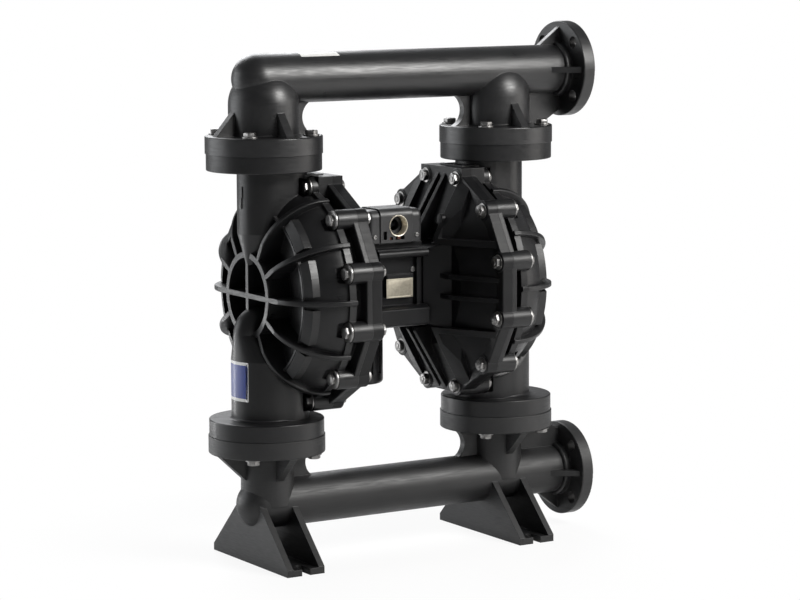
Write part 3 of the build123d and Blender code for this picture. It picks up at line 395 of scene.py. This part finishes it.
def set_out(master, places, name, finish, node):
    """Copies of a fastener at its places, as one piece that stands for a node."""
    copies = []
    for turn, place in enumerate(places):
        twist = Matrix.Rotation(math.radians(37 * turn), 4, "Z")
        copy = master.copy()
        copy.data = master.data.copy()
        copy.data.transform(place @ twist)
        bpy.context.scene.collection.objects.link(copy)
        copies.append(copy)
    piece = finish_piece(joined(copies), name, finish)
    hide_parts(node)
    return piece


stainless = worn_metal("stainless_fasteners", (0.27, 0.265, 0.26), 0.33, 300.0)
joint_bolt_ring, upper_seat_z, lower_seat_z = 0.075, 0.6605, 0.1735
joint_bolt = hexagon_bolt(0.012, 0.045)
for level, seat_z, over in (
    ("outlet", upper_seat_z, Matrix.Identity(4)),
    ("inlet", lower_seat_z, Matrix.Rotation(math.pi, 4, "X")),
):
    bolt_places = []
    for tower_x in (-0.211, 0.211):
        for quarter in range(4):
            around = math.radians(45 + 90 * quarter)
            bolt_x = tower_x + joint_bolt_ring * math.cos(around)
            bolt_y = joint_bolt_ring * math.sin(around)
            bolt_places.append(Matrix.Translation((bolt_x, bolt_y, seat_z)) @ over)
    set_out(joint_bolt, bolt_places, level + "_joint_bolt_set", stainless,
            level + "_joint_bolts")
bpy.data.objects.remove(joint_bolt)

brass = worn_metal("brass", (0.78, 0.72, 0.60), 0.36, 220.0)
dress("outlet_joint_inserts", brass)
dress("inlet_joint_inserts", brass)

# ---- middle housing ---------------------------------------------------------------
# The housing between the chambers that carries the shaft, moulded in plastic with a finer skin
# whose colour is painted darker as shade, with pale bearing bushes and black lip seals pressed
# in.
air_side_plastic = moulded_plastic(
    "air_side_plastic", (0.0042, 0.0042, 0.0048), rough=0.38, shine=0.25)
bearing_plastic = moulded_plastic("bearing_plastic", (0.62, 0.61, 0.55), rough=0.38, grain=600.0)
seal_rubber = moulded_rubber("seal_rubber", (0.02, 0.02, 0.02), 0.3, 2200.0)
dress("center_housing", air_side_plastic)
for side in ("left", "right"):
    dress(side + "_shaft_bush", bearing_plastic)
    dress(side + "_pilot_bush", bearing_plastic)
    dress(side + "_shaft_seal", seal_rubber)

# ---- shaft, plates and pilot pins -------------------------------------------------
# Ground stainless shaft and pins, with a steel plate on the air side of each diaphragm
# and a dished plastic plate on the wet side, screwed together through the middle.
ground_steel = worn_metal("ground_steel", (0.56, 0.56, 0.57), 0.22, 700.0)
plate_plastic = moulded_plastic("plate_plastic", (0.03, 0.03, 0.033), rough=0.4)
dress("diaphragm_shaft", ground_steel)
for side in ("left", "right"):
    dress(side + "_pilot_pin", ground_steel)
    dress(side + "_air_plate", ground_steel)
    dress(side + "_fluid_plate", plate_plastic)

# ---- diaphragms -------------------------------------------------------------------
# Black elastomer discs with one moulded roll, clamped at the rim between the two covers
# and in the middle between the plates. Each is made in twelve sectors that meet edge to
# edge.
diaphragm_rubber = moulded_rubber("diaphragm_rubber", (0.028, 0.028, 0.028), 0.25, 1800.0)
diaphragm_middle, sector_count = Vector((0, 0, 0.417)), 12
for side in ("left", "right"):
    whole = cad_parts[side + "_diaphragm"]
    for count in range(sector_count):
        name = f"{side}_diaphragm_sector_{count + 1:02d}"
        sector = bpy.data.objects.new(name, whole.data.copy())
        sector.data.name = name
        bpy.context.scene.collection.objects.link(sector)
        only_selected(sector)
        bpy.ops.object.mode_set(mode="EDIT")
        bpy.ops.mesh.select_all(action="SELECT")
        bpy.ops.mesh.remove_doubles(threshold=0.000002)
        angle = math.radians(360 / sector_count * count)
        for turn in (-1, 1):
            cut = angle + turn * math.radians(180 / sector_count)
            beyond = (0, -turn * math.sin(cut), turn * math.cos(cut))
            bpy.ops.mesh.select_all(action="SELECT")
            bpy.ops.mesh.bisect(
                plane_co=diaphragm_middle, plane_no=beyond, use_fill=True, clear_outer=True)
        bpy.ops.mesh.select_all(action="SELECT")
        bpy.ops.mesh.normals_make_consistent(inside=False)
        bpy.ops.object.mode_set(mode="OBJECT")
        bpy.ops.object.shade_smooth_by_angle(angle=math.radians(35))
        sector.data.materials.clear()
        sector.data.materials.append(diaphragm_rubber)
        outwards = Vector((0, math.cos(angle), math.sin(angle)))
        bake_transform(sector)
        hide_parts(side + "_diaphragm")

# ---- air covers -------------------------------------------------------------------
# Two webbed covers that hold the compressed air behind the diaphragms, in the same plastic as the
# middle housing with the same colour painted darker as shade, and drawn to it by four screws
# each.
for side in ("left", "right"):
    dress(side + "_air_cover", air_side_plastic)
dress("air_cover_screws", stainless)

# ---- air valve --------------------------------------------------------------------
# Valve block and end caps in a greyer and duller plastic, with a hard anodised spool in
# its bore and a flat rubber gasket under it.
valve_plastic = moulded_plastic("valve_plastic", (0.016, 0.016, 0.017), rough=0.42)
anodised_spool = worn_metal("anodised_spool", (0.07, 0.07, 0.075), 0.5, 500.0)
for node in ("air_valve_body", "air_valve_left_cap", "air_valve_right_cap"):
    dress(node, valve_plastic)
dress("air_valve_spool", anodised_spool)
dress("air_valve_gasket", seal_rubber)


# ---- air inlet sleeve -------------------------------------------------------------
# Turned brass sleeve pressed into the valve block, with an inside pipe thread and a
# rounded mouth, where the compressed air line is screwed in.
def turned_ring(profile, steps):
    """Closed ring about Z whose section follows (radius, height) points."""
    first_r, first_h = profile[0]
    bpy.ops.object.select_all(action="DESELECT")
    bpy.ops.mesh.primitive_circle_add(vertices=steps, radius=first_r, location=(0, 0, first_h))
    ring = bpy.context.active_object
    bpy.ops.object.transform_apply(location=True, rotation=True, scale=True)
    bpy.ops.object.mode_set(mode="EDIT")
    bpy.ops.mesh.select_all(action="SELECT")
    last_r, last_h = first_r, first_h
    for radius, height in profile[1:] + profile[:1]:
        grow = radius / last_r
        bpy.ops.mesh.extrude_edges_move(
            TRANSFORM_OT_translate={"value": (0, 0, height - last_h)})
        bpy.ops.transform.resize(value=(grow, grow, 1), center_override=(0, 0, height))
        last_r, last_h = radius, height
    bpy.ops.mesh.select_all(action="SELECT")
    bpy.ops.mesh.remove_doubles(threshold=0.000002)
    bpy.ops.mesh.normals_make_consistent(inside=False)
    bpy.ops.object.mode_set(mode="OBJECT")
    return ring


sleeve_profile = [(0.01478, 0.0422), (0.01678, 0.0422), (0.01678, 0.0565), (0.0165, 0.0570)]
sleeve_profile += [(0.0156, 0.0570), (0.0151, 0.0566), (0.0149, 0.0560)]
thread_top, thread_pitch = 0.0555, 0.0022
for turn in range(6):
    sleeve_profile.append((0.01555, thread_top - thread_pitch * turn))
    sleeve_profile.append((0.01475, thread_top - thread_pitch * (turn + 0.5)))
sleeve = turned_ring(sleeve_profile, 72)
only_selected(sleeve)
bpy.ops.object.shade_smooth_by_angle(angle=math.radians(40))
inlet_place = Matrix.Translation((-0.006, 0, 0.515))
sleeve.data.transform(inlet_place @ Matrix.Rotation(math.radians(90), 4, "X"))
finish_piece(sleeve, "threaded_inlet_sleeve", brass)
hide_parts("air_inlet_sleeve")

# ---- valve windows ----------------------------------------------------------------
# Dark red-brown moulded stops that show at the bottom of the two small windows under
# the air inlet. They are pushed into the block from inside.
stop_plastic = moulded_plastic(
    "window_stop_plastic", (0.07, 0.018, 0.009), rough=0.4, grain=700.0)
for name, x, z, width, height in (
    ("window_stop_small", -0.019, 0.4955, 0.0052, 0.0042),
    ("window_stop_wide", -0.003, 0.496, 0.0060, 0.0046),
):
    bpy.ops.object.select_all(action="DESELECT")
    bpy.ops.mesh.primitive_cube_add(size=1.0, location=(x, -0.0510, z))
    stop = bpy.context.active_object
    stop.scale = (width, 0.004, height)
    bpy.ops.object.transform_apply(location=True, rotation=True, scale=True)
    soft_edges(stop, 0.0008, 3)
    finish_piece(stop, name, stop_plastic)


# ---- small screws -----------------------------------------------------------------
# Socket screws that hold the valve's end caps and the middle housing's front plate,
# cold headed in stainless steel.
def socket_screw(head_r, head_h, socket):
    """Screw head with a hexagon socket, facing +Z and standing on Z = 0."""
    bpy.ops.object.select_all(action="DESELECT")
    bpy.ops.mesh.primitive_cylinder_add(
        vertices=32, radius=head_r, depth=head_h + 0.002, location=(0, 0, head_h / 2 - 0.001))
    screw = bpy.context.active_object
    bpy.ops.object.select_all(action="DESELECT")
    bpy.ops.mesh.primitive_cylinder_add(
        vertices=6, radius=socket, depth=0.003, location=(0, 0, head_h))
    cut_with(screw, bpy.context.active_object, "DIFFERENCE")
    bpy.ops.object.transform_apply(location=True, rotation=True, scale=True)
    soft_edges(screw, 0.0003)
    return screw


facing_front = Matrix.Rotation(math.radians(90), 4, "X")
for name, x, y, z, head_r in (
    ("cap_screw_left", -0.0475, -0.0538, 0.4990, 0.0034),
    ("cap_screw_right", 0.0285, -0.0538, 0.4990, 0.0034),
    ("front_screw_left", -0.0300, -0.0418, 0.4440, 0.0042),
    ("front_screw_right", 0.0280, -0.0418, 0.4440, 0.0042),
):
    screw = socket_screw(head_r, 0.0022, head_r * 0.55)
    screw.data.transform(Matrix.Translation((x, y, z)) @ facing_front)
    finish_piece(screw, name, stainless)

# ---- muffler ----------------------------------------------------------------------
# Black moulded can with slots all round, screwed up into the housing's exhaust port.
muffler_plastic = moulded_plastic("muffler_plastic", (0.006, 0.006, 0.007), rough=0.4)
dress("exhaust_muffler", muffler_plastic)

# ---- cover bolts and nuts ---------------------------------------------------------
# Twelve through bolts clamp each pair of covers on its diaphragm: hexagon heads with
# wide washers outside, hexagon nuts with thin washers on the inner side.
shaft_z, bolt_ring, head_seat, nut_seat = 0.417, 0.170, 0.160, 0.107
bolt_angles = [math.radians(15 + 30 * k) for k in range(12)]
cover_bolt = hexagon_bolt(0.015, 0.061)

thin_washer_t, nut_h = 0.0012, 0.0068
nut_body = chamfered_hexagon(across_flats, thin_washer_t, nut_h, both_ends=True)
bpy.ops.object.select_all(action="DESELECT")
bpy.ops.mesh.primitive_cylinder_add(
    vertices=48, radius=0.0120, depth=thin_washer_t, location=(0, 0, thin_washer_t / 2))
nut_washer = bpy.context.active_object
bpy.ops.object.select_all(action="DESELECT")
bpy.ops.mesh.primitive_cone_add(
    vertices=32, radius1=thread_r, radius2=0.0042, depth=0.0012, location=(0, 0, 0.0084))
bolt_end = bpy.context.active_object
cover_nut = joined([nut_body, nut_washer, bolt_end])
soft_edges(cover_nut, 0.00035)

for side, sign in (("left", -1), ("right", 1)):
    outwards = Matrix.Rotation(math.radians(90 * sign), 4, "Y")
    inwards = Matrix.Rotation(math.radians(-90 * sign), 4, "Y")
    rings = [(bolt_ring * math.sin(a), shaft_z + bolt_ring * math.cos(a)) for a in bolt_angles]
    heads = [Matrix.Translation((sign * head_seat, y, z)) @ outwards for y, z in rings]
    tails = [Matrix.Translation((sign * nut_seat, y, z)) @ inwards for y, z in rings]
    set_out(cover_bolt, heads, side + "_cover_bolt_set", stainless,
            side + "_cover_bolts")
    set_out(cover_nut, tails, side + "_cover_nut_set", stainless,
            side + "_cover_nuts")
bpy.data.objects.remove(cover_bolt)
bpy.data.objects.remove(cover_nut)


# ---- labels -----------------------------------------------------------------------
# A printed vinyl label round the left lower tube, blue with a white border, and a white
# paper sticker on the outlet pipe. Both are bare, and lie flat on the plastic.
def printed_film(name, colour, rough):
    """Smooth film with faint dust and a slightly uneven gloss."""
    finish = bpy.data.materials.new(name)
    finish.use_nodes = True
    nodes, links = finish.node_tree.nodes, finish.node_tree.links
    skin = nodes["Principled BSDF"]
    skin.inputs["Coat Weight"].default_value = 0.12
    skin.inputs["Coat Roughness"].default_value = 0.2
    place = nodes.new("ShaderNodeTexCoord")
    dust = nodes.new("ShaderNodeTexNoise")
    dust.inputs["Scale"].default_value = 180.0
    dust.inputs["Detail"].default_value = 6.0
    links.new(place.outputs["Object"], dust.inputs["Vector"])
    tone = nodes.new("ShaderNodeValToRGB")
    tone.color_ramp.elements[0].position = 0.35
    tone.color_ramp.elements[0].color = (*[c * 0.88 for c in colour], 1)
    tone.color_ramp.elements[1].position = 0.75
    tone.color_ramp.elements[1].color = (*colour, 1)
    links.new(dust.outputs["Fac"], tone.inputs["Fac"])
    links.new(tone.outputs["Color"], skin.inputs["Base Color"])
    gloss = nodes.new("ShaderNodeMapRange")
    gloss.inputs["To Min"].default_value = rough - 0.08
    gloss.inputs["To Max"].default_value = rough + 0.1
    links.new(dust.outputs["Fac"], gloss.inputs["Value"])
    links.new(gloss.outputs["Result"], skin.inputs["Roughness"])
    relief = nodes.new("ShaderNodeBump")
    relief.inputs["Strength"].default_value = 0.05
    relief.inputs["Distance"].default_value = 0.0001
    links.new(dust.outputs["Fac"], relief.inputs["Height"])
    links.new(relief.outputs["Normal"], skin.inputs["Normal"])
    return finish


def wrapped_film(radius, length, middle, turn, axis, from_side, to_side, border):
    """Film on a round surface: a slice of a tube between two directions."""
    bpy.ops.object.select_all(action="DESELECT")
    bpy.ops.mesh.primitive_cylinder_add(
        vertices=60, radius=radius, depth=length, end_fill_type="NOTHING", location=middle,
        rotation=turn)
    film = bpy.context.active_object
    bpy.ops.object.transform_apply(location=True, rotation=True, scale=True)
    bpy.ops.object.mode_set(mode="EDIT")
    for direction, inner in ((from_side, to_side), (to_side, from_side)):
        across = Vector(axis).cross(Vector(direction))
        if across.dot(Vector(inner)) > 0:
            across = -across
        bpy.ops.mesh.select_all(action="SELECT")
        bpy.ops.mesh.bisect(plane_co=middle, plane_no=across, clear_outer=True)
    bpy.ops.mesh.select_all(action="SELECT")
    bpy.ops.mesh.inset(thickness=border, use_boundary=True, use_even_offset=True)
    bpy.ops.object.mode_set(mode="OBJECT")
    return film


def rounded_corners(film, middle, axis, corner_r):
    """Round the corners of a film and of its selected panel; says which faces are inside."""
    panel = {point for face in film.data.polygons if face.select for point in face.vertices}
    everything = set(range(len(film.data.vertices)))
    facing = sum((vert.co - Vector(middle) for vert in film.data.vertices), Vector())
    across = Vector(axis).cross(facing).normalized()
    for face in film.data.polygons:
        face.material_index = 1 if face.select else 0
    corners = set()
    for points in (everything, panel):
        for up in (-1, 1):
            for aside in (-1, 1):
                way = up * Vector(axis) + aside * across
                corners.add(max(points, key=lambda point: film.data.vertices[point].co.dot(way)))
    bpy.ops.object.mode_set(mode="EDIT")
    bpy.ops.mesh.select_mode(type="VERT")
    bpy.ops.mesh.select_all(action="DESELECT")
    bpy.ops.object.mode_set(mode="OBJECT")
    for corner in corners:
        film.data.vertices[corner].select = True
    bpy.ops.object.mode_set(mode="EDIT")
    bpy.ops.mesh.bevel(offset=corner_r, segments=4, affect="VERTICES")
    bpy.ops.mesh.select_mode(type="FACE")
    bpy.ops.object.mode_set(mode="OBJECT")
    return [face.material_index == 1 and not face.select for face in film.data.polygons]


def around_tower(degrees):
    """Direction from a tower's axis, counted from the front towards the left."""
    return (-math.sin(math.radians(degrees)), -math.cos(math.radians(degrees)), 0)


label_blue = printed_film("label_blue", (0.020, 0.046, 0.25), 0.40)
label_white = printed_film("label_white", (0.78, 0.78, 0.76), 0.45)
label_middle, label_height, label_border = (-0.211, 0, 0.2873), 0.0605, 0.0046
label = wrapped_film(
    0.05412, label_height, label_middle, (0, 0, 0), (0, 0, 1), around_tower(59),
    around_tower(126), label_border)
inside = rounded_corners(label, label_middle, (0, 0, 1), 0.0026)
finish_piece(label, "blue_label", label_white)
label.data.materials.append(label_blue)
for face, within in zip(label.data.polygons, inside):
    face.material_index = 1 if within else 0
only_selected(label)
bpy.ops.object.shade_smooth()

sticker_edges = [
    (0, -math.sin(math.radians(lean)), math.cos(math.radians(lean))) for lean in (13, 33)]
sticker = wrapped_film(
    0.03862, 0.067, (-0.122, 0, 0.746), (0, math.radians(90), 0), (1, 0, 0), *sticker_edges,
    0.0012)
finish_piece(sticker, "white_sticker", label_white)
only_selected(sticker)
bpy.ops.object.shade_smooth()

# ---- maker's plate ----------------------------------------------------------------
# A bare plate of etched stainless sheet, riveted to the pad in front of the housing,
# with a fine frame line pressed round its edge.
plate_steel = worn_metal("plate_steel", (0.44, 0.405, 0.33), 0.56, 260.0)
bpy.ops.object.select_all(action="DESELECT")
bpy.ops.mesh.primitive_cube_add(size=1.0, location=(-0.0022, -0.0525, 0.4172))
plate = bpy.context.active_object
plate.scale = (0.0480, 0.0008, 0.0300)
bpy.ops.object.transform_apply(location=True, rotation=True, scale=True)
bpy.ops.object.mode_set(mode="EDIT")
bpy.ops.mesh.select_all(action="DESELECT")
bpy.ops.object.mode_set(mode="OBJECT")
for face in plate.data.polygons:
    face.select = face.normal.y < -0.9
bpy.ops.object.mode_set(mode="EDIT")
bpy.ops.mesh.select_mode(type="FACE")
bpy.ops.mesh.inset(thickness=0.0016)
bpy.ops.mesh.inset(thickness=0.0004)
bpy.ops.mesh.inset(thickness=0.0004, depth=-0.0003)
bpy.ops.mesh.inset(thickness=0.0005, depth=0.0003)
bpy.ops.object.mode_set(mode="OBJECT")
soft_edges(plate, 0.0002)
finish_piece(plate, "bare_plate", plate_steel)
rivets = []
for x in (-0.0232, 0.0188):
    for z in (0.4052, 0.4292):
        bpy.ops.object.select_all(action="DESELECT")
        bpy.ops.mesh.primitive_uv_sphere_add(
            segments=20, ring_count=10, radius=0.0013, location=(x, -0.0529, z))
        rivet = bpy.context.active_object
        rivet.scale = (1, 0.6, 1)
        rivets.append(rivet)
rivet_set = joined(rivets)
bpy.ops.object.shade_smooth()
finish_piece(rivet_set, "plate_rivets", plate_steel)

# ---- studio -----------------------------------------------------------------------
# A pale floor that fades to white away from the pump, a white surround, and five soft
# boxes: one high at the right of the front, one at the left, a weak one at the right, one
# high behind, and a small one near the floor for the feet.
floor_half = 6.0
bpy.ops.object.select_all(action="DESELECT")
bpy.ops.mesh.primitive_plane_add(size=2 * floor_half, location=(0, 0, 0))
floor = bpy.context.active_object
floor.name = "studio_floor"
floor_finish = bpy.data.materials.new("studio_floor")
floor_finish.use_nodes = True
floor_nodes, floor_links = floor_finish.node_tree.nodes, floor_finish.node_tree.links
floor_skin = floor_nodes["Principled BSDF"]
floor_skin.inputs["Base Color"].default_value = (0.86, 0.86, 0.86, 1)
floor_skin.inputs["Roughness"].default_value = 0.6
floor_glow = floor_nodes.new("ShaderNodeEmission")
floor_glow.inputs["Strength"].default_value = 1.0
floor_place = floor_nodes.new("ShaderNodeTexCoord")
floor_reach = floor_nodes.new("ShaderNodeVectorMath")
floor_reach.operation = "LENGTH"
floor_links.new(floor_place.outputs["Object"], floor_reach.inputs[0])
floor_fade = floor_nodes.new("ShaderNodeMapRange")
floor_fade.inputs["From Min"].default_value = 0.30
floor_fade.inputs["From Max"].default_value = 0.60
floor_fade.inputs["To Min"].default_value = 0.90
floor_fade.inputs["To Max"].default_value = 1.0
floor_links.new(floor_reach.outputs["Value"], floor_fade.inputs["Value"])
floor_rays = floor_nodes.new("ShaderNodeLightPath")
floor_shown = floor_nodes.new("ShaderNodeMath")
floor_shown.operation = "MULTIPLY_ADD"
floor_shown.inputs[1].default_value = 0.12
floor_links.new(floor_rays.outputs["Is Glossy Ray"], floor_shown.inputs[0])
floor_links.new(floor_rays.outputs["Is Camera Ray"], floor_shown.inputs[2])
floor_white = floor_nodes.new("ShaderNodeMath")
floor_white.operation = "MULTIPLY"
floor_links.new(floor_fade.outputs["Result"], floor_white.inputs[0])
floor_links.new(floor_shown.outputs["Value"], floor_white.inputs[1])
floor_mix = floor_nodes.new("ShaderNodeMixShader")
floor_links.new(floor_white.outputs["Value"], floor_mix.inputs["Fac"])
floor_links.new(floor_skin.outputs["BSDF"], floor_mix.inputs[1])
floor_links.new(floor_glow.outputs["Emission"], floor_mix.inputs[2])
floor_out = floor_nodes["Material Output"]
floor_links.new(floor_mix.outputs["Shader"], floor_out.inputs["Surface"])
floor.data.materials.append(floor_finish)

surround = bpy.data.worlds.new("studio_surround")
bpy.context.scene.world = surround
surround.use_nodes = True
air_nodes, air_links = surround.node_tree.nodes, surround.node_tree.links
soft_air = air_nodes["Background"]
soft_air.inputs["Color"].default_value = (0.95, 0.97, 1.0, 1)
soft_air.inputs["Strength"].default_value = 0.12
white_air = air_nodes.new("ShaderNodeBackground")
white_air.inputs["Color"].default_value = (1, 1, 1, 1)
white_air.inputs["Strength"].default_value = 1.0
rays = air_nodes.new("ShaderNodeLightPath")
seen = air_nodes.new("ShaderNodeMath")
seen.operation = "MAXIMUM"
air_links.new(rays.outputs["Is Camera Ray"], seen.inputs[0])
air_links.new(rays.outputs["Is Transmission Ray"], seen.inputs[1])
mirrored = air_nodes.new("ShaderNodeMath")
mirrored.operation = "MULTIPLY_ADD"
mirrored.inputs[1].default_value = 0.12
air_links.new(rays.outputs["Is Glossy Ray"], mirrored.inputs[0])
air_links.new(seen.outputs["Value"], mirrored.inputs[2])
air_mix = air_nodes.new("ShaderNodeMixShader")
air_links.new(mirrored.outputs["Value"], air_mix.inputs["Fac"])
air_links.new(soft_air.outputs["Background"], air_mix.inputs[1])
air_links.new(white_air.outputs["Background"], air_mix.inputs[2])
air_links.new(air_mix.outputs["Shader"], air_nodes["World Output"].inputs["Surface"])

light_middle = Vector((0.0, 0.0, 0.42))
soft_boxes = (
    ("key_box", 28, 32, 2.6, 1.15, 84.0, (1.0, 0.99, 0.97)),
    ("left_box", -131, 5, 2.6, 2.0, 33.0, (0.96, 0.98, 1.0)),
    ("right_box", 58, 3, 3.0, 1.6, 20.0, (1.0, 0.97, 0.93)),
    ("back_box", 168, 36, 2.8, 1.8, 60.0, (0.97, 0.98, 1.0)),
    ("low_box", -148, -12, 1.5, 0.2, 1.6, (1.0, 1.0, 1.0)),
)
for name, azimuth, elevation, distance, width, power, colour in soft_boxes:
    lamp = bpy.data.lights.new(name, "AREA")
    lamp.shape = "SQUARE"
    lamp.size = width
    lamp.energy = power
    lamp.color = colour
    stand = bpy.data.objects.new(name, lamp)
    bpy.context.scene.collection.objects.link(stand)
    turn, rise = math.radians(azimuth), math.radians(elevation)
    level = Vector((math.sin(turn), -math.cos(turn), 0))
    aside = math.cos(rise) * level + Vector((0, 0, math.sin(rise)))
    stand.location = light_middle + distance * aside
    stand.rotation_euler = (-aside).to_track_quat("-Z", "Y").to_euler()
